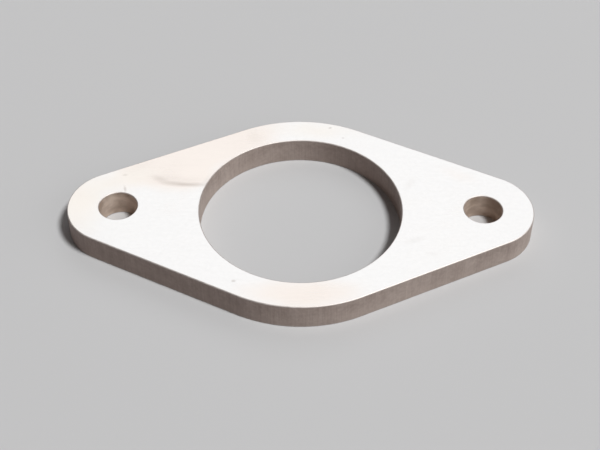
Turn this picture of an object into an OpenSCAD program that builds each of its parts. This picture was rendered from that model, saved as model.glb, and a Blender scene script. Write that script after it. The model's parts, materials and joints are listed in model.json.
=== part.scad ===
// Two-bolt pipe flange, laser cut from steel plate. A round middle and two
// rounded ends are joined by straight flanks that meet the arcs smoothly. The
// pipe bore is in the middle, a bolt hole is in each end, and every edge of
// the cut is broken. Millimetres. The origin is the centre of the bore on the
// lower face, X runs along the bolt line and Z up through the plate.

/* [Plate] */
// Thickness of the plate
plate_t = 8; // [4:0.5:16]
// Width of the broken edge, the same on the face and on the wall
edge_break = 0.25; // [0.1:0.05:1]

/* [Pipe bore] */
// Diameter of the bore that takes the pipe
bore_d = 58; // [40:0.5:76]
// Width of plate left around the bore
bore_land = 9; // [6:0.5:16]

/* [Bolt holes] */
// Distance between the centres of the two bolt holes
bolt_pitch = 104.5; // [96:0.5:150]
// Diameter of each bolt hole
bolt_hole_d = 11; // [7:0.5:14]
// Width of plate left around each bolt hole
bolt_land = 9; // [5:0.5:12]

/* [Hidden] */
// Segments in a full circle
$fn = 180;

// How far a cut runs past the plate
cut_past = 1;
// How far the flanks lie inside the arcs, so that flank and arc cross cleanly
flank_inset = 0.002;
// Which way the broken edges lean: in from an outer wall, or out from a hole
lean_in = -1;
lean_out = 1;

// Places of the bolt holes along X
bolt_xs = [-bolt_pitch / 2, bolt_pitch / 2];
// Outer radii of the round middle and of each rounded end
middle_r = bore_d / 2 + bore_land;
end_r = bolt_hole_d / 2 + bolt_land;
// Overall length and width of the flange
flange_l = bolt_pitch + 2 * end_r;
flange_w = 2 * middle_r;
// Angle between a flank and the bolt line, where both arcs share the flank as a tangent
flank_angle = asin((middle_r - end_r) / (bolt_pitch / 2));
// Directions square to the right-hand flanks, below and above the bolt line
flank_normals = [for (side = [-1, 1]) [sin(flank_angle), side * cos(flank_angle)]];

// Section of a cut, from its middle out to a wall at half_w and past the plate on both faces
function cut_section(half_w, lean) = let (past_w = half_w + lean * (edge_break + cut_past)) [
    [0, -cut_past],
    [past_w, -cut_past],
    [half_w, edge_break],
    [half_w, plate_t - edge_break],
    [past_w, plate_t + cut_past],
    [0, plate_t + cut_past]
];

// Round outer wall or round hole
module round_cut(r, lean) {
    rotate_extrude() polygon(cut_section(r, lean));
}

// Two parallel flanks, one on each side of a line through the middle
module flank_pair() {
    for (side = [0, 1])
        mirror([0, side, 0])
            rotate([90, 0, 90])
                linear_extrude(height = 2 * flange_l, center = true)
                    polygon(cut_section(middle_r - flank_inset, lean_in));
}

// Outline that ends the right-hand flanks square where they touch the arcs
module flank_ends() {
    end_centre = [bolt_pitch / 2, 0];
    polygon([
        [0, 0],
        (middle_r + cut_past) * flank_normals[0],
        end_centre + (end_r + cut_past) * flank_normals[0],
        end_centre,
        end_centre + (end_r + cut_past) * flank_normals[1],
        (middle_r + cut_past) * flank_normals[1]
    ]);
}

// Straight-sided part of the outline, from the middle to the right-hand end
module flanks() {
    intersection() {
        rotate(flank_angle) flank_pair();
        rotate(-flank_angle) flank_pair();
        translate([0, 0, -cut_past]) linear_extrude(height = plate_t + 2 * cut_past) flank_ends();
    }
}

// Outline of the flange, taller than the plate
module outline() {
    round_cut(middle_r, lean_in);
    for (x = bolt_xs) translate([x, 0, 0]) round_cut(end_r, lean_in);
    for (side = [0, 1]) mirror([side, 0, 0]) flanks();
}

// Plate that the flange is cut from
module plate() {
    translate([-flange_l / 2 - cut_past, -flange_w / 2 - cut_past, 0])
        cube([flange_l + 2 * cut_past, flange_w + 2 * cut_past, plate_t]);
}

// The flange, one piece of plate
module flange() {
    color("lightgray")
        difference() {
            intersection() {
                plate();
                outline();
            }
            round_cut(bore_d / 2, lean_out);
            for (x = bolt_xs) translate([x, 0, 0]) round_cut(bolt_hole_d / 2, lean_out);
        }
}

flange();
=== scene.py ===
"""Looks of a two-bolt pipe flange, laser cut from steel plate. Metres.

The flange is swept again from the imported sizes, finer than the CAD mesh, with satin rolled faces,
ribbed cut walls and a bright broken edge. It lies on a pale floor in soft studio light.
"""

import json
import math

import bmesh
import bpy
from mathutils import Matrix, Quaternion, Vector


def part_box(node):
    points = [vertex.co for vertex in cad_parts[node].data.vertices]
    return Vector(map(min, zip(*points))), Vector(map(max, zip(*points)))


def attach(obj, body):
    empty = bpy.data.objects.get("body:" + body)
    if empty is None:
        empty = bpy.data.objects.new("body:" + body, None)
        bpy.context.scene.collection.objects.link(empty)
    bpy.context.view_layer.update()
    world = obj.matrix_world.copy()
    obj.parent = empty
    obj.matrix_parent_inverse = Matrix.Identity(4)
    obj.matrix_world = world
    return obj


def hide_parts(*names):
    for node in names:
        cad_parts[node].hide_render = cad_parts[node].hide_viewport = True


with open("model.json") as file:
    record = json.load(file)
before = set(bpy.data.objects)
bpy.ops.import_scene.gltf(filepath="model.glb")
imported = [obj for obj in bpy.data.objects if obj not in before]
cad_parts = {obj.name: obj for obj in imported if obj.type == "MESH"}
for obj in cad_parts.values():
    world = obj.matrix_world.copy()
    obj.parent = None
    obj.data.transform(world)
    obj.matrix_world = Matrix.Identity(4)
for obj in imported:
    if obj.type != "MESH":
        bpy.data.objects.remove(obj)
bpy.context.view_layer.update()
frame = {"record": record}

# Sizes of the flange, from the frame
MM = 0.001
ARC_STEP = 0.05 * MM
UP = Vector((0, 0, 1))
flange_low, flange_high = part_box("flange")
mount_sizes = {mount["name"]: mount["dims"] for mount in frame["record"]["mounts"]}


def to_arc_step(length):
    """The length that the CAD arcs stand for, as their chords fall a little short of it."""
    return round(length / ARC_STEP) * ARC_STEP


plate_t = flange_high.z - flange_low.z
edge_break = (plate_t - mount_sizes["pipe_bore"]["length_mm"] * MM) / 2
bore_r = mount_sizes["pipe_bore"]["r_mm"] * MM
hole_r = mount_sizes["bolt_pair"]["hole_r_mm"] * MM
bolt_x = mount_sizes["bolt_pair"]["spacing_x_mm"] * MM / 2
middle_r = to_arc_step(flange_high.y)
end_r = to_arc_step(flange_high.x) - bolt_x
flank_angle = math.asin((middle_r - end_r) / bolt_x)

# How finely the walls are swept, and how near two points count as one
EDGE_STEPS = 3
END_STEPS = 48
FLANK_STEPS = 12
MIDDLE_STEPS = 36
BORE_STEPS = 320
HOLE_STEPS = 120
SAME_POINT = ARC_STEP / 100

# Which way the broken edges lean: in from the outer wall, or out from a hole
LEAN_IN = -1
LEAN_OUT = 1

# Finishes of the flange, in the order of its material slots
ROLLED_FACE = 0
CUT_WALL = 1
BROKEN_EDGE = 2

# How much of a normal points up or down, at least on a rolled face and at most on a cut wall
ROLLED_FACE_LEAST = 0.999
CUT_WALL_MOST = 0.001

# Places of the colour sockets on a Mix node
MIX_FIRST_COLOUR = 6
MIX_SECOND_COLOUR = 7
MIX_COLOUR_OUT = 2

# Part of the noise's range that is spread out to run from 0 to 1
NOISE_SPREAD = (0.32, 0.68)


class Reading:
    """One output of a node. Sums, differences and products of readings add Math nodes."""

    def __init__(self, shading, socket):
        self.shading = shading
        self.socket = socket

    def math(self, operation, first, second):
        return self.shading.node("ShaderNodeMath", {"operation": operation}, {0: first, 1: second})

    def __add__(self, other):
        return self.math("ADD", self, other)

    def __radd__(self, other):
        return self.math("ADD", other, self)

    def __sub__(self, other):
        return self.math("SUBTRACT", self, other)

    def __rsub__(self, other):
        return self.math("SUBTRACT", other, self)

    def __mul__(self, other):
        return self.math("MULTIPLY", self, other)

    def __rmul__(self, other):
        return self.math("MULTIPLY", other, self)


class Shading:
    """The nodes of a finish or of the surround, added by one method."""

    def __init__(self, owner):
        owner.use_nodes = True
        self.owner = owner
        self.tree = owner.node_tree
        self.tree.nodes.clear()

    def node(self, kind, settings=None, sockets=None, output=0):
        """Adds a node, sets it, fills or links its sockets and gives one of its outputs, if it has any."""
        made = self.tree.nodes.new(kind)
        for name, value in (settings or {}).items():
            setattr(made, name, value)
        for name, value in (sockets or {}).items():
            if isinstance(value, Reading):
                self.tree.links.new(value.socket, made.inputs[name])
            else:
                made.inputs[name].default_value = value
        return Reading(self, made.outputs[output]) if made.outputs else None

    def blend(self, factor, first, second):
        """A colour between two others."""
        settings = {"data_type": "RGBA", "blend_type": "MIX"}
        sockets = {"Factor": factor, MIX_FIRST_COLOUR: first, MIX_SECOND_COLOUR: second}
        return self.node("ShaderNodeMix", settings, sockets, MIX_COLOUR_OUT)

    def seen(self):
        """1 where the eye, a reflection or glass looks, 0 where light is only thrown back."""
        rays = ("Is Camera Ray", "Is Glossy Ray", "Is Transmission Ray")
        return sum(self.node("ShaderNodeLightPath", output=ray) for ray in rays)


class Finish(Shading):
    """A material around one Principled shader, with patterns on the piece's own coordinates."""

    def __init__(self, name):
        super().__init__(bpy.data.materials.new(name))
        self.place = self.node("ShaderNodeTexCoord", output="Object")

    def measured(self, place, centre, lengths, turn):
        """A place measured from a centre, in a length along each axis. The axes turn by degrees round Z."""
        sockets = {
            "Vector": place,
            "Location": centre,
            "Rotation": (0, 0, math.radians(turn)),
            "Scale": lengths,
        }
        return self.node("ShaderNodeMapping", {"vector_type": "TEXTURE"}, sockets)

    def noise(self, size, detail, turn=0.0):
        """Soft noise about 0.5, in cells of a size in mm along each axis, turned by degrees round Z."""
        cells = self.measured(self.place, (0, 0, 0), [length * MM for length in size], turn)
        return self.node("ShaderNodeTexNoise", None, {"Vector": cells, "Scale": 1.0, "Detail": detail})

    def patches(self, size, detail):
        """The same noise, spread out to run from 0 to 1."""
        return self.smooth(self.noise(size, detail), *NOISE_SPREAD)

    def smooth(self, value, start, end):
        """0 up to start and 1 from end, with a smooth rise between."""
        sockets = {"Value": value, "From Min": start, "From Max": end, "To Min": 0.0, "To Max": 1.0}
        return self.node("ShaderNodeMapRange", {"interpolation_type": "SMOOTHSTEP"}, sockets)

    def away(self, place, centre, radii, turn=0.0):
        """How far a place is from a centre: 0 there and 1 on the oval that the radii give."""
        in_radii = self.measured(place, centre, radii, turn)
        return self.node("ShaderNodeVectorMath", {"operation": "LENGTH"}, {0: in_radii}, "Value")

    def spot(self, centre, radii, turn):
        """1 at a place on the upper face, fading to 0 on an oval round it. Millimetres and degrees."""
        middle = (centre[0] * MM, centre[1] * MM, plate_t)
        oval = (radii[0] * MM, radii[1] * MM, MARK_DEPTH)
        return self.smooth(self.away(self.place, middle, oval, turn), 1.0, 0.0)

    def bump(self, height, depth):
        """The surface normal over a relief of the given depth in metres."""
        return self.node("ShaderNodeBump", None, {"Height": height, "Strength": 1.0, "Distance": depth})

    def shade(self, **sockets):
        """Ends the finish with its shader. Socket names take _ for a space."""
        named = {name.replace("_", " "): value for name, value in sockets.items()}
        shader = self.node("ShaderNodeBsdfPrincipled", None, named)
        self.node("ShaderNodeOutputMaterial", None, {"Surface": shader})
        return self.owner


# Marks on the upper face: centre and radii in mm, turn in degrees, strength
WARM_FILM = [
    ((-28, 25), (38, 17), 29, 1.1),
    ((-42, 17), (26, 10), 24, 0.6),
    ((-33, 13), (14, 6), 0, 0.6),
    ((-35, 9), (14, 6), 0, 0.45),
    ((0, -33), (28, 9), 0, 0.8),
    ((45, 15), (14, 5), -26, 0.3),
]
STRAW_FILM = [
    ((-64, 2), (14, 20), 0, 0.8),
    ((-50, 12), (14, 8), 20, 0.6),
    ((4, 34), (20, 8), 0, 0.5),
]
# A darker streak on the upper face, sharp below and fading into a soft darker band above it: a darker
# colour and a rougher surface there
DARK_STREAK = [
    ((-36.5, 9.4), (6.5, 1.5), -5, 0.50),
    ((-30.5, 9.1), (6.5, 1.3), 0, 0.45),
    ((-41.0, 11.2), (4.5, 1.9), -28, 0.30),
    ((-36.0, 11.2), (12.0, 3.5), -3, 0.14),
    ((-27.6, 11.0), (1.3, 4.0), -20, 0.20),
]
SMUDGES = [
    ((31.8, 10.3), (4.0, 2.0), 60, 0.10),
    ((32.0, -12.6), (5.0, 1.6), 20, 0.10),
    ((36.7, -17.9), (2.5, 1.5), 0, 0.08),
    ((-14.5, 30.5), (3.0, 6.0), 12, 0.08),
    ((-47.0, 17.0), (7.0, 2.5), 27, 0.06),
]
SPECKS = [
    ((-51.0, 7.0), (0.6, 1.9), 10, 0.40),
    ((-51.6, 13.0), (1.3, 0.9), 0, 0.18),
    ((-17.9, -28.7), (1.0, 0.8), 0, 0.42),
    ((8.7, 35.0), (0.9, 0.6), 30, 0.35),
    ((12.6, 30.4), (0.6, 0.6), 0, 0.25),
]
# How far below the upper face a mark has faded
MARK_DEPTH = 1.0 * MM

# Patterns of the rolled faces: size of a cell in mm along each axis, detail
FACE_GRAIN = ((9.0, 0.4, 9.0), 3.0)
FACE_PITS = ((1.1, 0.9, 1.1), 2.0)
FACE_CLOUD = ((14.0, 11.0, 14.0), 3.0)
HAIR_SCRATCH = ((40.0, 0.8, 40.0), 1.0)
# Which way the hair scratches run, in degrees from X
SCRATCH_TURNS = (-34, 17, 62)
# Where scratches, films and the broken-up darker streak start to show, and where they show in full
SCRATCH_SHOWS = (0.70, 0.78)
FILM_SHOWS = (0.25, 1.1)
STREAK_SHOWS = (0.2, 0.6)
# Colours and relief of the rolled faces
STEEL_DULL = (0.83, 0.83, 0.83, 1)
STEEL_BRIGHT = (0.91, 0.91, 0.91, 1)
STEEL_WARM = (0.875, 0.815, 0.77, 1)
STEEL_STRAW = (0.875, 0.835, 0.785, 1)
STEEL_STREAKED = (0.58, 0.52, 0.48, 1)
SPECK_BROWN = (0.38, 0.33, 0.30, 1)
FACE_RELIEF = 0.0018 * MM


def marks(finish, places):
    """Marks on the upper face, added together."""
    return sum(strength * finish.spot(centre, radii, turn) for centre, radii, turn, strength in places)


def satin_rolled_face():
    """Bright rolled plate with a fine grain along X, hair scratches, a warm oil film, a darker streak with
    a soft darker band above it, smudges and specks.
    """
    finish = Finish("satin_rolled_face")
    grain = finish.patches(*FACE_GRAIN)
    pits = finish.patches(*FACE_PITS)
    cloud = finish.noise(*FACE_CLOUD)
    hairs = [finish.noise(*HAIR_SCRATCH, turn) for turn in SCRATCH_TURNS]
    scratches = sum(finish.smooth(hair, *SCRATCH_SHOWS) for hair in hairs)
    film = finish.smooth(marks(finish, WARM_FILM) + 0.5 * cloud, *FILM_SHOWS)
    straw = finish.smooth(marks(finish, STRAW_FILM) + 0.5 * cloud, *FILM_SHOWS)
    streak_and_smudges = marks(finish, DARK_STREAK) * finish.smooth(cloud, *STREAK_SHOWS) + marks(finish, SMUDGES)
    specks = marks(finish, SPECKS)
    shade = 0.3 * grain + 0.2 * pits + 0.6 * cloud - 0.1 * scratches - 0.05
    bright = finish.blend(shade, STEEL_DULL, STEEL_BRIGHT)
    warm = finish.blend(film, bright, STEEL_WARM)
    oiled = finish.blend(straw, warm, STEEL_STRAW)
    # The darker streak and the smudges darken the colour here
    streaked = finish.blend(streak_and_smudges, oiled, STEEL_STREAKED)
    colour = finish.blend(specks, streaked, SPECK_BROWN)
    rough = 0.18 + 0.10 * cloud + 0.03 * grain + 0.15 * streak_and_smudges
    relief = grain + 0.6 * pits - scratches
    return finish.shade(
        Base_Color=colour,
        Metallic=1.0,
        Roughness=rough,
        Normal=finish.bump(relief, FACE_RELIEF),
    )


# Patterns of the cut walls: size of a cell in mm along each axis, detail
WALL_RIBS = ((0.45, 0.45, 11.0), 2.0)
WALL_BANDS = ((2.4, 2.4, 40.0), 2.0)
WALL_MOTTLE = ((6.0, 6.0, 3.8), 3.0)
WALL_GRIT = ((0.9, 0.9, 0.9), 2.0)
# Heights at which the rougher lower part of the cut starts to show, and shows in full
LOWER_SHOWS = (0.8 * plate_t, 0.2 * plate_t)
# Distances from a bolt hole at which its straw tint and painted lighter tone start to show, and show in
# full, in its radii
HOLE_TINT_AND_LIGHT_SHOWS = (1.9, 1.3)
# Colours and relief of the cut walls
WALL_DARK = (0.375, 0.30, 0.262, 1)
WALL_LIGHT = (0.605, 0.523, 0.472, 1)
WALL_LOWER = (0.64, 0.56, 0.505, 1)
# Bolt-hole walls: painted light, a paler tone than the other cut walls standing in for the brighter light
# inside the holes, with a straw hue of their own
HOLE_DARK = (0.48, 0.375, 0.30, 1)
HOLE_LIGHT = (0.82, 0.70, 0.60, 1)
WALL_RELIEF = 0.02 * MM


def ribbed_cut_wall():
    """Dull warm grey laser cut wall with fine upright ribs, deeper towards the lower face."""
    finish = Finish("ribbed_cut_wall")
    ribs = finish.patches(*WALL_RIBS)
    bands = finish.patches(*WALL_BANDS)
    mottle = finish.patches(*WALL_MOTTLE)
    grit = finish.patches(*WALL_GRIT)
    height = finish.node("ShaderNodeSeparateXYZ", None, {"Vector": finish.place}, "Z")
    lower = finish.smooth(height, *LOWER_SHOWS)
    tone = 0.22 * ribs + 0.15 * bands + 0.35 * mottle + 0.28 * grit
    plain = finish.blend(tone, WALL_DARK, WALL_LIGHT)
    # The colour is a little lighter towards the lower face
    lighter = finish.blend(0.25 * lower, plain, WALL_LOWER)
    either_end = finish.node("ShaderNodeVectorMath", {"operation": "ABSOLUTE"}, {0: finish.place})
    from_hole = finish.away(either_end, (bolt_x, 0, plate_t / 2), (hole_r, hole_r, plate_t))
    # Painted light: the hole walls take this paler straw colour in place of the plain cut wall colour
    straw = finish.blend(mottle, HOLE_DARK, HOLE_LIGHT)
    colour = finish.blend(finish.smooth(from_hole, *HOLE_TINT_AND_LIGHT_SHOWS), lighter, straw)
    rough = 0.50 + 0.08 * mottle + 0.06 * lower
    relief = ribs * (0.5 + 0.5 * lower) + 0.4 * bands + 0.4 * grit
    return finish.shade(
        Base_Color=colour,
        Metallic=0.2,
        Roughness=rough,
        Normal=finish.bump(relief, WALL_RELIEF),
    )


# Pattern, colours and relief of the broken edge
EDGE_WEAR = ((1.4, 1.4, 1.4), 3.0)
EDGE_DULL = (0.46, 0.41, 0.385, 1)
EDGE_BRIGHT = (0.76, 0.72, 0.69, 1)
EDGE_RELIEF = 0.03 * MM


def bright_broken_edge():
    """Narrow worn edge between a face and a wall, brighter than the wall and a little uneven."""
    finish = Finish("bright_broken_edge")
    wear = finish.noise(*EDGE_WEAR)
    return finish.shade(
        Base_Color=finish.blend(wear, EDGE_DULL, EDGE_BRIGHT),
        Metallic=1.0,
        Roughness=0.40 + 0.35 * wear,
        Normal=finish.bump(wear, EDGE_RELIEF),
    )


def add_piece(name, bm, finishes):
    """Makes a shape a piece of the scene, with its finishes in the order of the material slots."""
    mesh = bpy.data.meshes.new(name)
    bm.to_mesh(mesh)
    bm.free()
    for finish in finishes:
        mesh.materials.append(finish)
    piece = bpy.data.objects.new(name, mesh)
    bpy.context.scene.collection.objects.link(piece)
    return piece


def spin(bm, geom, centre, axis, angle, steps, step=(0, 0, 0), closed=False):
    """Sweeps geometry round an axis, or along a step, and gives what it ends on."""
    swept = bmesh.ops.spin(
        bm, geom=geom, cent=centre, axis=axis, angle=angle, steps=steps, dvec=step, use_merge=closed
    )
    return swept["geom_last"]


def wall_section(bm, wall_x, lean):
    """Upright line of a wall on the X axis, rounded off into the lower and the upper face."""
    edge_x = wall_x + lean * edge_break
    quarter = lean * math.pi / 2
    start = bm.verts.new((edge_x, 0, flange_low.z))
    before = set(bm.edges)
    below = Vector((edge_x, 0, flange_low.z + edge_break))
    above = Vector((edge_x, 0, flange_high.z - edge_break))
    lower = spin(bm, [start], below, (0, 1, 0), quarter, EDGE_STEPS)
    upper = spin(bm, lower, below, UP, 0.0, 1, above - below)
    spin(bm, upper, above, (0, 1, 0), quarter, EDGE_STEPS)
    edges = [edge for edge in bm.edges if edge not in before]
    verts = list(dict.fromkeys(vert for edge in edges for vert in edge.verts))
    return verts + edges


def sweep_outer_wall(bm):
    """Outer wall: a quarter is swept round the end, along the flank and round the middle, then mirrored."""
    end_centre = Vector((bolt_x, 0, 0))
    flank_normal = Vector((math.sin(flank_angle), math.cos(flank_angle), 0))
    flank = middle_r * flank_normal - (end_centre + end_r * flank_normal)
    section = wall_section(bm, bolt_x + end_r, LEAN_IN)
    section = spin(bm, section, end_centre, UP, math.pi / 2 - flank_angle, END_STEPS)
    section = spin(bm, section, end_centre, UP, 0.0, FLANK_STEPS, flank / FLANK_STEPS)
    spin(bm, section, (0, 0, 0), UP, flank_angle, MIDDLE_STEPS)
    for axis in ("X", "Y"):
        geom = bm.verts[:] + bm.edges[:] + bm.faces[:]
        bmesh.ops.mirror(bm, geom=geom, matrix=Matrix(), merge_dist=SAME_POINT, axis=axis)


def sweep_hole(bm, centre_x, radius, steps):
    """Wall of a round hole."""
    section = wall_section(bm, centre_x + radius, LEAN_OUT)
    spin(bm, section, (centre_x, 0, 0), UP, 2 * math.pi, steps, closed=True)


def fill_face(bm, height):
    """Plate face between the rims of the walls that reach it."""
    on_face = {vert for vert in bm.verts if abs(vert.co.z - height) < SAME_POINT}
    rims = [edge for edge in bm.edges if on_face.issuperset(edge.verts)]
    bmesh.ops.triangle_fill(bm, use_beauty=True, edges=rims, normal=UP)


def finish_of(face):
    """The finish that a face of the flange has, by the way that it points."""
    upright = abs(face.normal.z)
    if upright > ROLLED_FACE_LEAST:
        return ROLLED_FACE
    return CUT_WALL if upright < CUT_WALL_MOST else BROKEN_EDGE


def make_flange():
    """The flange as one closed mesh."""
    bm = bmesh.new()
    sweep_outer_wall(bm)
    sweep_hole(bm, 0, bore_r, BORE_STEPS)
    for side in (-1, 1):
        sweep_hole(bm, side * bolt_x, hole_r, HOLE_STEPS)
    bmesh.ops.remove_doubles(bm, verts=bm.verts, dist=SAME_POINT)
    for height in (flange_low.z, flange_high.z):
        fill_face(bm, height)
    bmesh.ops.recalc_face_normals(bm, faces=bm.faces)
    for face in bm.faces:
        face.smooth = True
        face.material_index = finish_of(face)
    for edge in bm.edges:
        edge.smooth = len({face.material_index for face in edge.link_faces}) == 1
    finishes = (satin_rolled_face(), ribbed_cut_wall(), bright_broken_edge())
    return add_piece("flange_plate", bm, finishes)


flange = make_flange()
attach(flange, "root")
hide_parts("flange")

# Floor, just clear of the lower face
FLOOR_HALF = 4.0
FLOOR_GAP = 0.02 * MM
# Colour of the floor, as it throws light back and as it is seen
FLOOR_THROWN = (0.14, 0.096, 0.092, 1)
FLOOR_SEEN = (0.61, 0.615, 0.62, 1)


def pale_floor():
    """Plain matt floor, pale to the eye and in the steel, that throws little light back on the walls."""
    finish = Finish("pale_floor")
    colour = finish.blend(finish.seen(), FLOOR_THROWN, FLOOR_SEEN)
    return finish.shade(Base_Color=colour, Roughness=0.9, Specular_IOR_Level=0.2)


def make_floor():
    """Plain square floor under the flange."""
    bm = bmesh.new()
    drop = Matrix.Translation(UP * (flange_low.z - FLOOR_GAP))
    bmesh.ops.create_grid(bm, x_segments=1, y_segments=1, size=FLOOR_HALF, matrix=drop)
    return add_piece("floor", bm, [pale_floor()])


make_floor()


def around(aim, turn, rise, distance):
    """A point round an aim: turn in degrees from the front towards +X, rise in degrees."""
    level = math.cos(math.radians(rise))
    towards = Vector((
        level * math.sin(math.radians(turn)),
        -level * math.cos(math.radians(turn)),
        math.sin(math.radians(rise)),
    ))
    return aim + distance * towards


def point_at(thing, place, aim, roll=0.0):
    """Puts a lamp or the camera at a place, looking at an aim, with a roll in degrees."""
    thing.location = place
    thing.rotation_mode = "QUATERNION"
    look = (aim - place).to_track_quat("-Z", "Y")
    thing.rotation_quaternion = look @ Quaternion(UP, math.radians(roll))
    bpy.context.scene.collection.objects.link(thing)


# Camera, fitted to the outline, the bore and the bolt holes
CAMERA_LENS = 76.0
CAMERA_SENSOR = 36.0
CAMERA_NEAR = 10 * MM
CAMERA_AIM = Vector((-0.12, -3.08, 4.0)) * MM
CAMERA_TURN = 0.276
CAMERA_RISE = 44.95
CAMERA_DISTANCE = 363.05 * MM
CAMERA_ROLL = 0.364

camera_data = bpy.data.cameras.new("camera")
camera_data.lens = CAMERA_LENS
camera_data.sensor_width = CAMERA_SENSOR
camera_data.clip_start = CAMERA_NEAR
camera = bpy.data.objects.new("camera", camera_data)
camera_place = around(CAMERA_AIM, CAMERA_TURN, CAMERA_RISE, CAMERA_DISTANCE)
point_at(camera, camera_place, CAMERA_AIM, CAMERA_ROLL)
bpy.context.scene.camera = camera

# Main lamp and a soft box at the front right, and a soft box behind: turn and rise in degrees, distance
LAMP_AIM = Vector((0, 0, 0))
MAIN_LAMP = (60, 62, 1.0)
MAIN_LAMP_WIDTH = 12
MAIN_LAMP_LIGHT = 2.5
BACK_BOX = (177, 46, 1.6)
BACK_BOX_SIZE = (1.45, 1.05)
BACK_BOX_WATTS = 3.95
FRONT_BOX = (54, 28, 1.6)
FRONT_BOX_SIZE = (3.0, 1.2)
FRONT_BOX_WATTS = 6.4
# Light of the surround, as it is thrown on the flange and as it is seen
SURROUND_THROWN = (0.03, 0.02, 0.019, 1)
SURROUND_SEEN = (0.32, 0.31, 0.305, 1)


def soft_box(name, place, size, watts):
    """A wide soft lamp that shows in the steel, but not to the camera."""
    soft = bpy.data.lights.new(name, "AREA")
    soft.shape = "RECTANGLE"
    soft.size, soft.size_y = size
    soft.energy = watts
    box = bpy.data.objects.new(name, soft)
    box.visible_camera = False
    point_at(box, around(LAMP_AIM, *place), LAMP_AIM)


def make_lights():
    """One main lamp, two soft boxes and an even dim surround."""
    sun = bpy.data.lights.new("main_lamp", "SUN")
    sun.angle = math.radians(MAIN_LAMP_WIDTH)
    sun.energy = MAIN_LAMP_LIGHT
    point_at(bpy.data.objects.new("main_lamp", sun), around(LAMP_AIM, *MAIN_LAMP), LAMP_AIM)
    soft_box("back_box", BACK_BOX, BACK_BOX_SIZE, BACK_BOX_WATTS)
    soft_box("front_box", FRONT_BOX, FRONT_BOX_SIZE, FRONT_BOX_WATTS)
    surround = Shading(bpy.data.worlds.new("surround"))
    surround.owner.cycles.sampling_method = "NONE"
    light = surround.blend(surround.seen(), SURROUND_THROWN, SURROUND_SEEN)
    background = surround.node("ShaderNodeBackground", None, {"Color": light})
    surround.node("ShaderNodeOutputWorld", None, {"Surface": background})
    bpy.context.scene.world = surround.owner


make_lights()
bpy.context.scene.view_settings.view_transform = "Standard"
